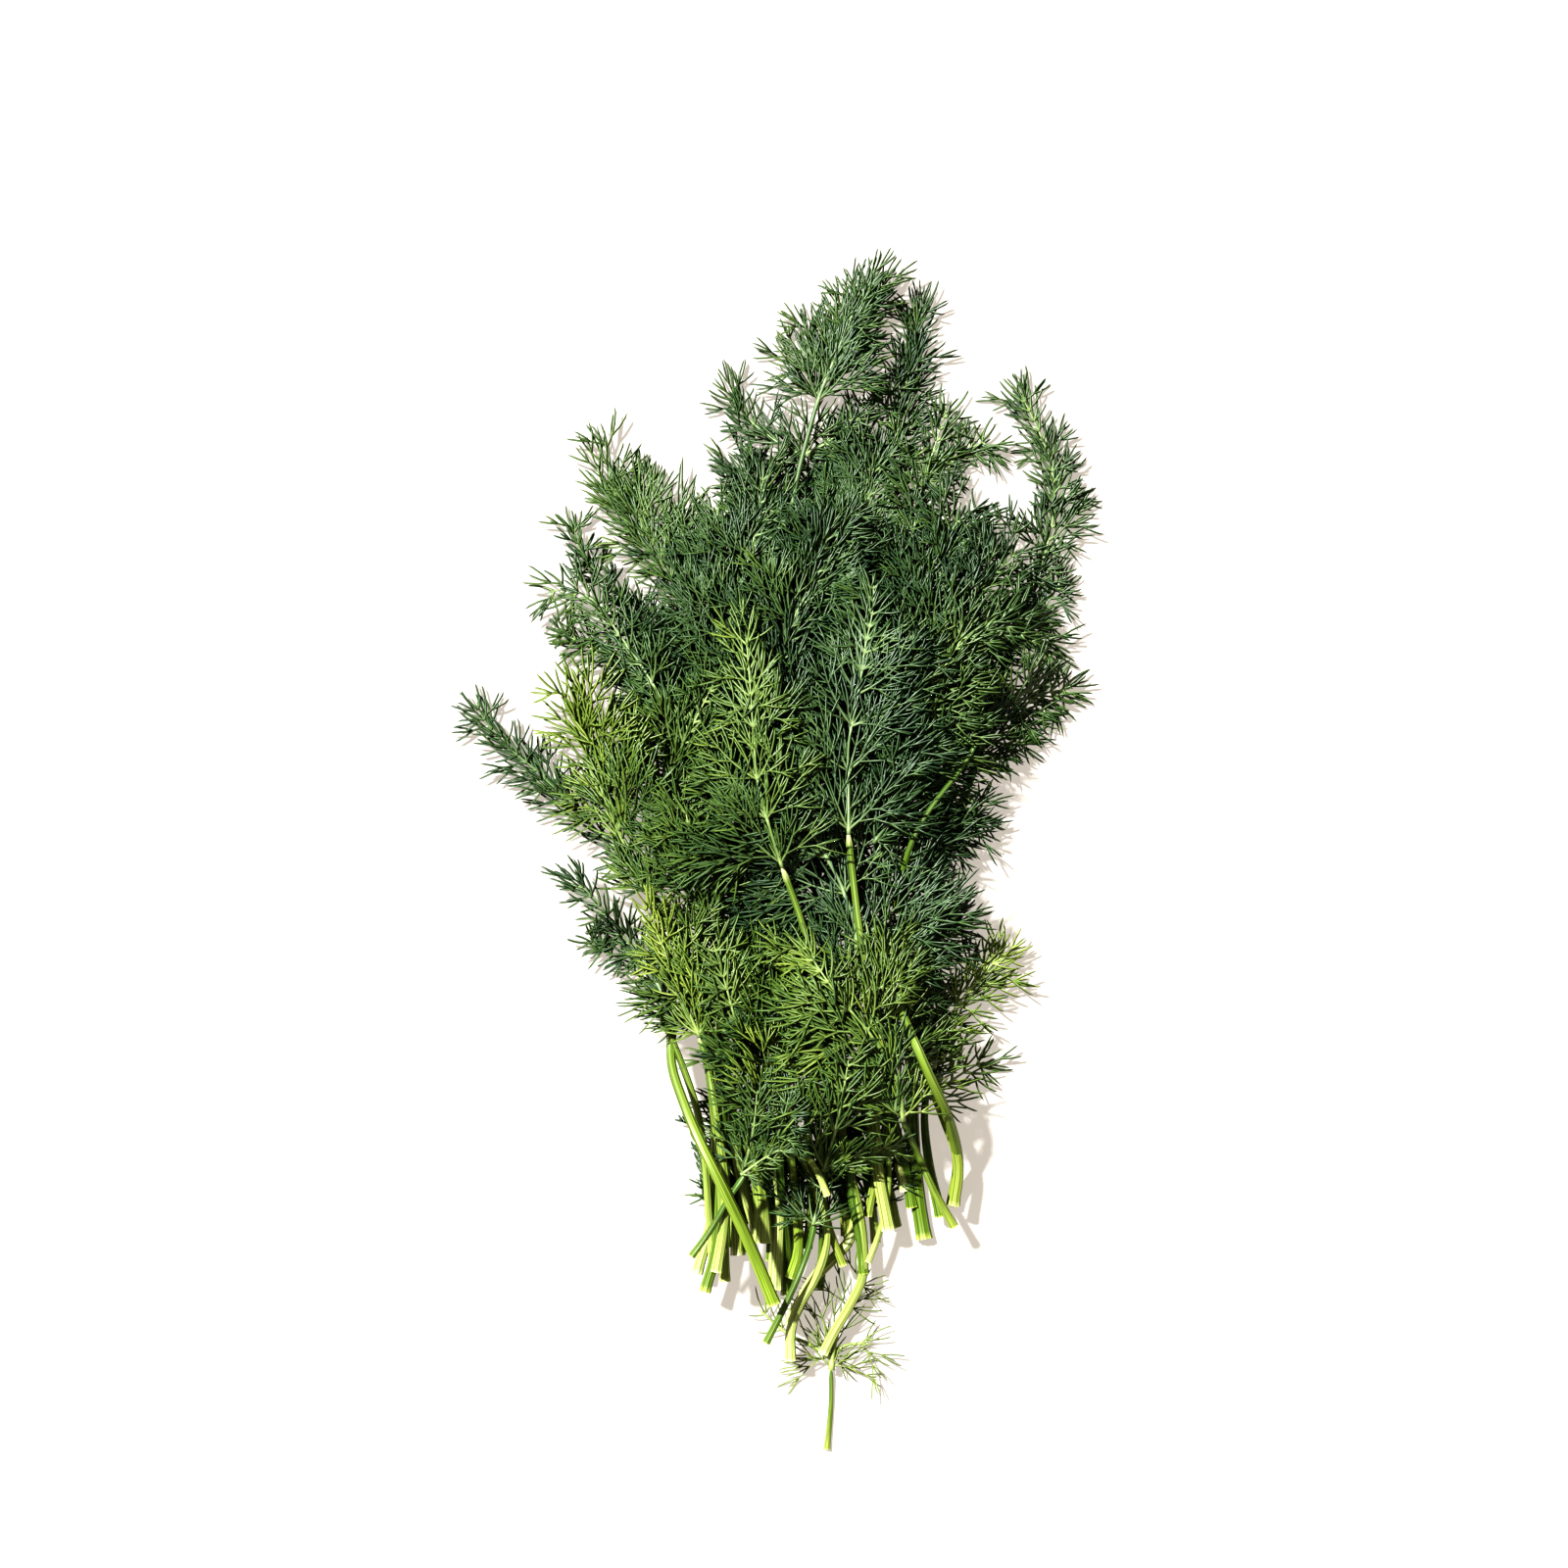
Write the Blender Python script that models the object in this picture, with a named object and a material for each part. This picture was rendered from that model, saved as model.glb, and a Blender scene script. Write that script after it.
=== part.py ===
"""A loose bunch of cut dill, lying on its side on a flat surface.

Each sprig is a round stem, cut across at one end, that carries one or more
feathery fronds.  A stem is a tapered tube.  A frond is the closed outer shape
of its plume of thread leaves: a thin blade, thickest along its midrib, that
drapes over whatever lies below it.  The pieces are laid one after another,
from the lowest in the heap to the highest, and each rests on those before it.

Metres, +Z up, +Y from the cut ends towards the tips.  The surface is at z = 0
and the origin is on it, under the middle of the bunch.
"""

import bmesh
import bpy
import numpy as np
from mathutils import Vector
from mathutils.bvhtree import BVHTree

MM = 0.001

# The heap: how closely the pieces lie on each other.
CELL = 0.8 * MM             # spacing of the map that holds the top of the heap
HALF_MAP = (110, 200)       # cells from the middle of the map to its edges, in X and Y
CLEARANCE = 0.4 * MM        # between a piece and what it lies on
EYE_HEIGHT = 0.2            # the heap is measured by looking down from here
ROUTE_STEPS = 12            # steps in the smooth curve from one point of a route to the next

# Stems.
STEM_STEP = 11 * MM         # distance between a stem's points
STEM_BEND = 8 * MM          # a stem keeps to one height over at least this length
STEM_TAPER = 0.6            # a stem's diameter under its frond, as a share of its cut end's
SAMPLE = 2 * MM             # spacing at which a stem feels the heap below it

# Fronds.
STATIONS = 15               # rows of points along a frond
ACROSS = 7                  # points in each row
FROND_BEND = 1.6 * MM         # a frond keeps to one height over at least this length
RIM = 0.9 * MM              # thickness of a frond at its edge
CREST = 2.8 * MM            # and along its midrib
END_WIDTH = 0.14            # width of a frond's ends, as a share of its widest place
FULLNESS = 0.7              # under 1, a frond is widest nearer its foot than its tip

COLOURS = {                 # linear red, green, blue of the plain materials
    "pale stem": (0.50, 0.60, 0.20),
    "green stem": (0.22, 0.36, 0.07),
    "deep frond": (0.035, 0.10, 0.030),
    "mid frond": (0.070, 0.17, 0.030),
    "bright frond": (0.22, 0.36, 0.035),
}
STEM_ROUGHNESS = 0.45
FROND_ROUGHNESS = 0.60

# The heap from the surface up: name, colour, a stem's diameter or a frond's widest half-width, and
# the route from the cut end, or from the frond's foot, to the tip, seen from above.  All in mm.
HEAP = (
    ("stem_23", "green stem", 1.6, ((13, -147), (14, -136), (14, -129))),
    ("frond_23", "mid frond", 9, ((14, -127), (14, -121), (16, -113), (19, -106))),
    ("stem_01", "green stem", 4.2, ((37, -95), (36, -74), (35, -43), (41, -7), (51, 27), (59, 52))),
    ("frond_01", "deep frond", 9, ((59, 54), (61, 69), (65, 83), (66, 92), (64, 104), (60, 118))),
    ("stem_02", "pale stem", 4.0, ((-9, -99), (-10, -79), (-13, -57), (-18, -38), (-25, -19), (-34, -3))),
    ("frond_02", "deep frond", 9, ((-35, -2), (-44, 6), (-50, 12), (-58, 21), (-64, 26), (-70, 33), (-77, 42))),
    ("stem_03", "green stem", 3.2, ((3, -109), (5, -88), (10, -55), (13, -20), (14, -5))),
    ("frond_03", "deep frond", 17, ((14, -3), (16, 36), (15, 62), (20, 78), (24, 101), (28, 113), (36, 139))),
    ("stem_04", "pale stem", 4.0, ((0, -107), (1, -88), (2, -55), (4, -20), (4, 5))),
    ("frond_04", "deep frond", 24, ((4, 7), (4, 41), (4, 82), (5, 97), (7, 112), (10, 124), (19, 145))),
    ("frond_05_low", "deep frond", 4, ((-16, -90), (-18, -82), (-20, -75), (-22, -67))),
    ("stem_05", "pale stem", 3.0, ((-19, -103), (-15, -86), (-15, -60), (-18, -21), (-19, 14))),
    ("frond_05_side", "deep frond", 9, ((-24, 41), (-32, 56), (-41, 66), (-48, 75), (-50, 82), (-48, 87))),
    ("frond_05", "mid frond", 19, ((-19, 16), (-20, 52), (-26, 68), (-31, 77), (-36, 84), (-41, 93), (-45, 100))),
    ("frond_05_top", "deep frond", 12, ((-17, 36), (-16, 56), (-15, 68), (-14, 78), (-14, 89))),
    ("stem_06", "green stem", 2.6, ((32, -83), (29, -64), (28, -31), (25, 3), (24, 17))),
    ("frond_06_top", "deep frond", 16, ((31, 55), (34, 78), (37, 92), (40, 102), (43, 116))),
    ("frond_06", "deep frond", 18, ((24, 19), (26, 42), (34, 58), (38, 68), (45, 82), (53, 100))),
    ("frond_06_side", "deep frond", 13, ((32, 52), (42, 59), (50, 65), (61, 77))),
    ("stem_07", "pale stem", 3.4, ((-4, -93), (-9, -74), (-14, -31), (-14, 0), (-13, 10))),
    ("frond_07", "deep frond", 15, ((-13, 12), (-11, 54), (-8, 66), (-5, 77), (-2, 89), (0, 103))),
    ("stem_15", "green stem", 3.0, ((41, -89), (38, -76), (37, -62), (40, -53))),
    ("frond_15_side", "bright frond", 7, ((38, -60), (44, -55), (49, -52), (55, -48))),
    ("frond_15", "mid frond", 10, ((40, -51), (43, -43), (48, -36), (54, -28), (61, -21))),
    ("stem_08", "green stem", 3.0, ((-17, -107), (-14, -95), (-13, -74), (-12, -43), (-14, -7), (-18, 18), (-22, 28))),
    ("frond_08", "deep frond", 14, ((-23, 30), (-31, 46), (-38, 56), (-44, 64), (-51, 66), (-59, 65))),
    ("stem_09", "pale stem", 2.8,
     ((44, -86), (45, -75), (41, -63), (34, -45), (31, -27), (32, -12), (36, 8), (40, 14), (46, 24))),
    ("frond_09_side", "deep frond", 13, ((33, 40), (41, 50), (48, 54), (59, 58), (67, 57), (73, 50))),
    ("frond_09", "deep frond", 12, ((47, 26), (55, 37), (65, 40), (78, 42))),
    ("frond_09_low", "deep frond", 17, ((22, 4), (33, 10), (45, 11), (60, 10))),
    ("stem_10", "pale stem", 3.2, ((3, -117), (9, -105), (17, -95), (19, -80), (17, -55), (14, -35), (13, -24))),
    ("frond_10", "deep frond", 18, ((12, -22), (8, 5), (2, 33), (2, 47), (5, 58), (10, 68), (16, 91))),
    ("stem_11", "green stem", 2.8, ((-12, -104), (-13, -79), (-16, -52), (-19, -36), (-24, -22), (-29, -13))),
    ("frond_11_side", "bright frond", 10, ((-28, -9), (-29, 10), (-24, 23), (-18, 35), (-14, 43))),
    ("frond_11", "bright frond", 14, ((-30, -11), (-36, 3), (-40, 15), (-44, 27), (-47, 41))),
    ("stem_12", "green stem", 2.4, ((23, -89), (28, -62), (28, -40), (27, -27))),
    ("frond_12_low", "deep frond", 14, ((22, -36), (34, -22), (43, -14), (51, -6))),
    ("frond_12", "deep frond", 18, ((27, -25), (27, 0), (27, 22), (32, 32), (40, 37), (48, 44), (56, 53))),
    ("stem_13", "green stem", 2.2, ((17, -101), (13, -90), (12, -78), (15, -50), (18, -37))),
    ("frond_13", "deep frond", 15, ((19, -35), (20, -20), (17, -9), (13, -1), (8, 8), (5, 18), (4, 30), (6, 43))),
    ("stem_14", "pale stem", 3.8, ((28, -92), (25, -74), (24, -50), (22, -28), (20, -13), (18, 3))),
    ("frond_14", "deep frond", 22, ((18, 5), (18, 17), (18, 27), (20, 37), (22, 50), (23, 63), (23, 78))),
    ("stem_20", "green stem", 3.4,
     ((0, -109), (-6, -94), (-12, -81), (-18, -69), (-22, -60), (-25, -51), (-25, -43))),
    ("frond_20", "mid frond", 9, ((-25, -41), (-28, -33), (-33, -25), (-38, -19), (-43, -12), (-49, -6))),
    ("stem_16", "pale stem", 2.8, ((-14, -101), (-12, -88), (-12, -78), (-14, -64), (-16, -52), (-18, -46))),
    ("frond_16_side", "mid frond", 15, ((-10, -40), (-15, -22), (-18, -8), (-20, 3), (-22, 14))),
    ("frond_16", "bright frond", 11, ((-18, -44), (-20, -37), (-22, -28), (-25, -19), (-30, -8))),
    ("stem_17", "green stem", 2.6,
     ((12, -123), (15, -117), (19, -110), (22, -102), (21, -88), (17, -70), (15, -45), (10, -28), (6, -14),
      (2, -5))),
    ("frond_17", "bright frond", 16, ((2, -3), (-2, 10), (-4, 18), (-5, 30), (-6, 44), (-7, 57))),
    ("stem_19", "green stem", 2.8, ((4, -124), (6, -114), (11, -103), (12, -91), (7, -77), (1, -65))),
    ("frond_19", "mid frond", 14, ((0, -63), (-6, -49), (-10, -38), (-13, -30), (-15, -22), (-18, -10))),
    ("frond_19_side", "bright frond", 13, ((0, -66), (6, -55), (12, -45), (17, -34))),
    ("stem_18", "green stem", 2.2, ((44, -91), (39, -82), (35, -73), (31, -66))),
    ("frond_18_side", "mid frond", 13, ((29, -60), (25, -46), (24, -37), (26, -27), (29, -18))),
    ("frond_18", "mid frond", 15, ((31, -64), (31, -55), (25, -44), (16, -33), (3, -16))),
    ("stem_21", "green stem", 1.6, ((-2, -119), (4, -107), (8, -97), (10, -91))),
    ("frond_21", "mid frond", 14, ((10, -89), (12, -77), (15, -67), (18, -56), (20, -46))),
    ("stem_22", "green stem", 1.6, ((-20, -97), (-15, -90), (-11, -83), (-7, -79))),
    ("frond_22", "mid frond", 11, ((-7, -77), (-8, -69), (-9, -60), (-10, -49))),
)


def even_points(route, count):
    """Points at equal distances along a smooth curve through a route's points, in metres."""
    knots = np.array(route, float) * MM
    padded = np.vstack([2 * knots[0] - knots[1], knots, 2 * knots[-1] - knots[-2]])
    fine = []
    for before, start, end, after in zip(padded, padded[1:], padded[2:], padded[3:]):
        for t in np.linspace(0, 1, ROUTE_STEPS, endpoint=False):
            slope = end - before
            bow = 2 * before - 5 * start + 4 * end - after
            turn = 3 * (start - end) + after - before
            fine.append(start + 0.5 * (slope * t + bow * t**2 + turn * t**3))
    fine = np.array(fine + [knots[-1]])
    run = np.concatenate([[0], np.cumsum(np.linalg.norm(np.diff(fine, axis=0), axis=1))])
    at = np.linspace(0, run[-1], count)
    return np.column_stack([np.interp(at, run, fine[:, 0]), np.interp(at, run, fine[:, 1])])


def length_of(route):
    return np.linalg.norm(np.diff(np.array(route, float), axis=0), axis=1).sum() * MM


def shifted(values, reach, axis):
    """Copies of an array, moved by each whole number of places up to reach either way."""
    return [np.roll(values, step, axis) for step in range(-reach, reach + 1)]


def highest_near(values, reach):
    for axis in range(values.ndim):
        values = np.max(shifted(values, reach, axis), axis=0)
    return values


def mean_near(values, reach):
    for axis in range(values.ndim):
        values = np.mean(shifted(values, reach, axis), axis=0)
    return values


def cells_of(plan):
    """The map's row and column under each point of a plan."""
    index = np.rint(np.asarray(plan) / CELL).astype(int) + HALF_MAP
    return index[..., 0], index[..., 1]


def above(height):
    """Where the underside of a piece goes: on the surface itself, or just clear of the heap."""
    return np.where(height > 0, height + CLEARANCE, 0.0)


def raise_map(obj, top):
    """Adds a laid piece to the map of the heap, by looking down on it from above."""
    tree = BVHTree.FromObject(obj, bpy.context.evaluated_depsgraph_get())
    corners = [obj.matrix_world @ Vector(corner) for corner in obj.bound_box]
    low = np.rint(np.min(corners, axis=0)[:2] / CELL).astype(int)
    high = np.rint(np.max(corners, axis=0)[:2] / CELL).astype(int)
    for column in range(low[0], high[0] + 1):
        for row in range(low[1], high[1] + 1):
            eye = Vector((column * CELL, row * CELL, EYE_HEIGHT)) - obj.location
            hit = tree.ray_cast(eye, Vector((0, 0, -1)))[0]
            if hit is not None:
                cell = (column + HALF_MAP[0], row + HALF_MAP[1])
                top[cell] = max(top[cell], hit.z + obj.location.z)


def plain_material(name, colour, roughness):
    material = bpy.data.materials.new(name)
    material.use_nodes = True
    shader = material.node_tree.nodes["Principled BSDF"]
    shader.inputs["Base Color"].default_value = (*colour, 1.0)
    shader.inputs["Roughness"].default_value = roughness
    shader.inputs["Metallic"].default_value = 0.0
    return material


def add_piece(name, data, foot, colour, roughness, bunch, holder):
    """Puts a piece in the bunch, with its origin at its foot."""
    data.materials.append(plain_material(name, COLOURS[colour], roughness))
    obj = bpy.data.objects.new(name, data)
    obj.location = foot
    obj.parent = holder
    bunch.objects.link(obj)
    bpy.context.view_layer.update()
    return obj


def stem_curve(name, diameter, route, top):
    """A tapered tube along a route, as low as the heap lets it lie.  Returns it and its foot."""
    length = length_of(route)
    points = even_points(route, max(4, round(length / STEM_STEP) + 1))
    samples = even_points(route, round(length / SAMPLE) + 1)
    beside = highest_near(top, int(np.ceil((diameter / 2 * MM + CLEARANCE) / CELL)))
    below = beside[cells_of(samples)]
    bend = round(STEM_BEND / SAMPLE)
    step = round(STEM_STEP / SAMPLE)
    padded = np.pad(below, 2 * bend + step, mode="edge")
    smooth = mean_near(highest_near(padded, bend + step), bend)[2 * bend + step:-(2 * bend + step)]
    rest = np.interp(np.linspace(0, 1, len(points)), np.linspace(0, 1, len(smooth)), smooth)
    radii = np.linspace(1, STEM_TAPER, len(points)) * diameter / 2 * MM
    places = np.column_stack([points, above(rest) + radii])
    curve = bpy.data.curves.new(name, "CURVE")
    curve.dimensions = "3D"
    curve.bevel_depth = diameter / 2 * MM
    curve.bevel_resolution = 2
    curve.use_fill_caps = True
    spline = curve.splines.new("POLY")
    spline.points.add(len(points) - 1)
    for point, place, radius in zip(spline.points, places - places[0], radii):
        point.co = (*place, 1)
        point.radius = radius / radii[0]
    return curve, places[0]


def frond_mesh(name, half_width, route, top):
    """A blade draped over the heap.  Returns it and its foot."""
    middle = even_points(route, STATIONS)
    along = np.gradient(middle, axis=0)
    side = np.column_stack([-along[:, 1], along[:, 0]]) / np.linalg.norm(along, axis=1)[:, None]
    share = np.linspace(0, 1, STATIONS)
    width = (END_WIDTH + (1 - END_WIDTH) * np.sin(np.pi * share**FULLNESS)) * half_width * MM
    widest = max(2 * half_width * MM / (ACROSS - 1), length_of(route) / (STATIONS - 1))
    bend = round(FROND_BEND / CELL)
    drape = mean_near(highest_near(top, int(np.ceil(widest / CELL)) + bend), bend)

    bm = bmesh.new()
    bmesh.ops.create_grid(bm, x_segments=STATIONS - 1, y_segments=ACROSS - 1, size=1.0)
    thickness = bm.verts.layers.float.new("thickness")
    for vert in bm.verts:
        row = round((vert.co.x + 1) / 2 * (STATIONS - 1))
        plan = middle[row] + side[row] * vert.co.y * width[row]
        vert[thickness] = RIM + (CREST - RIM) * (1 - vert.co.y**2) * np.sin(np.pi * share[row])
        vert.co = (*plan, above(drape[cells_of(plan)]))
    skin = bmesh.ops.extrude_face_region(bm, geom=bm.faces[:])["geom"]
    for vert in skin:
        if isinstance(vert, bmesh.types.BMVert):
            vert.co.z += vert[thickness]
    bmesh.ops.recalc_face_normals(bm, faces=bm.faces)
    foot = Vector((*middle[0], above(drape[cells_of(middle[0])])))
    bmesh.ops.translate(bm, verts=bm.verts, vec=-foot)
    mesh = bpy.data.meshes.new(name)
    bm.to_mesh(mesh)
    bm.free()
    mesh.shade_smooth()
    return mesh, foot


def main():
    for obj in list(bpy.data.objects):
        bpy.data.objects.remove(obj, do_unlink=True)
    bunch = bpy.data.collections.new("dill_bunch")
    bpy.context.scene.collection.children.link(bunch)
    holder = bpy.data.objects.new("bunch_middle", None)
    bunch.objects.link(holder)
    top = np.zeros((2 * HALF_MAP[0] + 1, 2 * HALF_MAP[1] + 1))
    for name, colour, size, route in HEAP:
        if name.startswith("stem"):
            data, foot = stem_curve(name, size, route, top)
            roughness = STEM_ROUGHNESS
        else:
            data, foot = frond_mesh(name, size, route, top)
            roughness = FROND_ROUGHNESS
        obj = add_piece(name, data, foot, colour, roughness, bunch, holder)
        raise_map(obj, top)


main()
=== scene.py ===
"""A loose bunch of cut dill lying on its side: ribbed stalks and plumes of fine forked threads."""
from math import radians

import bpy
import numpy as np
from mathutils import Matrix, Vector
from mathutils.bvhtree import BVHTree


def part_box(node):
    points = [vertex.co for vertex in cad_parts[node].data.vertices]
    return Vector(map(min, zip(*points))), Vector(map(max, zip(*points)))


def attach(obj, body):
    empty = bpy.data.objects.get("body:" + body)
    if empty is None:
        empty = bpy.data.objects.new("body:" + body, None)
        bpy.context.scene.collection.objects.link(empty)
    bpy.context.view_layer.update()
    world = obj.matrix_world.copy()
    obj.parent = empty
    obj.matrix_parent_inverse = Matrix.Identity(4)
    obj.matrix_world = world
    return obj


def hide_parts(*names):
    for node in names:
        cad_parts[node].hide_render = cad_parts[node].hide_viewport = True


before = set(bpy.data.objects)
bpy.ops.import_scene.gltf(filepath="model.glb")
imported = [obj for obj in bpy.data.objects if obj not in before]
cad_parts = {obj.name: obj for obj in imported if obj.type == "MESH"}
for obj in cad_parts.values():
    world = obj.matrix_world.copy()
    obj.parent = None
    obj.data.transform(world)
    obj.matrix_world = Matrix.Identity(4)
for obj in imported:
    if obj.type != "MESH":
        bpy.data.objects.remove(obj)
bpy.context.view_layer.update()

bpy.ops.object.select_all(action="DESELECT")


# ---------------------------------------------------------------------------------------------
# Stalks.  A dill stalk is round, hollow and finely ribbed: whitish where it grew in the ground's
# shade, green higher up, and swollen into a knuckle where its first leaves part.  It is simply cut
# across at its foot.  Stalks 1 to 23 follow the CAD stems of those numbers, and the rest have none.
# ---------------------------------------------------------------------------------------------
MM = 0.001
RIBS = 9                 # ribs round a stalk: fewer and deeper than real ones, so that they show
RIB_DEPTH = 0.13         # of the stalk's radius
STALK_STEP = 2.5 * MM    # spacing of a stalk's rings
TAPER = 0.8              # under 1, so that a stalk narrows fastest near its foot
FLARE = 1.08             # how much the cut foot is spread
KNUCKLE = (1.12, 0.6)    # the last two rings swell and close where the leaves part
RIM = 0.3                # thickness of the flesh round the hollow, of the foot's radius
HOLLOW = 0.5             # depth of the hollow, of the foot's width


def smooth_route(route, spacing):
    """Points at even distances on a smooth curve through a route's points, which are in mm."""
    knots = np.array(route, float) * MM
    padded = np.vstack([2 * knots[0] - knots[1], knots, 2 * knots[-1] - knots[-2]])
    fine = []
    for before, start, end, after in zip(padded, padded[1:], padded[2:], padded[3:]):
        for t in np.linspace(0, 1, 12, endpoint=False):
            slope, bow = end - before, 2 * before - 5 * start + 4 * end - after
            turn = 3 * (start - end) + after - before
            fine.append(start + 0.5 * (slope * t + bow * t**2 + turn * t**3))
    fine = np.array(fine + [knots[-1]])
    run = np.concatenate([[0], np.cumsum(np.linalg.norm(np.diff(fine, axis=0), axis=1))])
    at = np.linspace(0, run[-1], max(4, round(run[-1] / spacing) + 1))
    return np.column_stack([np.interp(at, run, fine[:, 0]), np.interp(at, run, fine[:, 1])])


def middles(cad_node, places):
    """The middle height of a CAD solid at each place, and no number where the solid isn't."""
    tree = BVHTree.FromObject(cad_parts[cad_node], bpy.context.evaluated_depsgraph_get())
    heights = np.full(len(places), np.nan)
    for i, (x, y) in enumerate(places):
        top = tree.ray_cast(Vector((x, y, 1.0)), Vector((0, 0, -1)))[0]
        if top is not None:
            heights[i] = (top.z + tree.ray_cast(Vector((x, y, -1.0)), Vector((0, 0, 1)))[0].z) / 2
    return heights


def linear(hex_colour):
    """An sRGB hex colour as linear red, green, blue and alpha."""
    parts = [int(hex_colour[i:i + 2], 16) / 255 for i in (1, 3, 5)]
    return [p / 12.92 if p <= 0.04045 else ((p + 0.055) / 1.055) ** 2.4 for p in parts] + [1.0]


def add_node(material, kind, links={}, values={}, stops=(), **traits):
    """Adds a node: links to its inputs, its inputs' values, a ramp's stops, and its other settings."""
    made = material.node_tree.nodes.new(kind)
    for key, value in traits.items():
        setattr(made, key, value)
    for key, value in values.items():
        made.inputs[key].default_value = value
    for key, socket in links.items():
        material.node_tree.links.new(socket, made.inputs[key])
    while stops and len(made.color_ramp.elements) < len(stops):
        made.color_ramp.elements.new(0.5)
    for i, (place, _) in enumerate(stops):
        made.color_ramp.elements[i].position = place
    for i, (_, colour) in enumerate(stops):
        made.color_ramp.elements[i].color = linear(colour)
    return made


def stalk_look(name, cut, foot, middle, top):
    """Fresh dill stalk: a thin waxy skin over wet flesh, so it has a soft gloss.  Darker green veins
    run along it between paler ribs, and its colour goes from the cut's cream to leaf green."""
    material = bpy.data.materials.new(name)
    material.use_nodes = True
    shader = material.node_tree.nodes["Principled BSDF"]
    own_map = add_node(material, "ShaderNodeUVMap", uv_map="UVMap")
    parts = add_node(material, "ShaderNodeSeparateXYZ", {0: own_map.outputs[0]})
    along = add_node(material, "ShaderNodeValToRGB", {0: parts.outputs[0]}, stops=(
        (0.0, cut), (0.012, foot), (0.45, middle), (0.97, top), (1.0, cut)))
    # veins about 1/16 of a turn apart and centimetres long
    drawn = add_node(material, "ShaderNodeMapping", {0: own_map.outputs[0]}, {3: (2.0, 16.0, 1.0)})
    veins = add_node(material, "ShaderNodeTexNoise", {"Vector": drawn.outputs[0]},
                     {"Scale": 1.0, "Detail": 3.0})
    tones = add_node(material, "ShaderNodeValToRGB", {0: veins.outputs[0]}, stops=(
        (0.38, "#98A47E"), (0.5, "#D4DAC4"), (0.6, "#FFFFFF")))
    veined = add_node(material, "ShaderNodeMix", {6: along.outputs[0], 7: tones.outputs[0]}, {0: 0.9},
                      data_type="RGBA", blend_type="MULTIPLY")
    material.node_tree.links.new(veined.outputs[2], shader.inputs["Base Color"])
    bump = add_node(material, "ShaderNodeBump", {"Height": veins.outputs[0]},
                    {"Strength": 0.6, "Distance": 0.2 * MM})
    material.node_tree.links.new(bump.outputs[0], shader.inputs["Normal"])
    shader.inputs["Roughness"].default_value = 0.38
    shader.inputs["IOR"].default_value = 1.42
    return material


STALK_LOOKS = {
    "cream": stalk_look("blanched dill stalk", "#D0D0AA", "#AEB47E", "#949E60", "#6C7A46"),
    "pale": stalk_look("pale dill stalk", "#CCCCA4", "#A2AA70", "#808E4A", "#66783C"),
    "grass": stalk_look("grass green dill stalk", "#BCC084", "#86904A", "#6C7C3A", "#5C7238"),
    "bright": stalk_look("bright green dill stalk", "#BCC084", "#82943E", "#7A8A40", "#687A3C"),
    "deep": stalk_look("deep green dill stalk", "#ACB464", "#647830", "#52672C", "#567036"),
}

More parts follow.
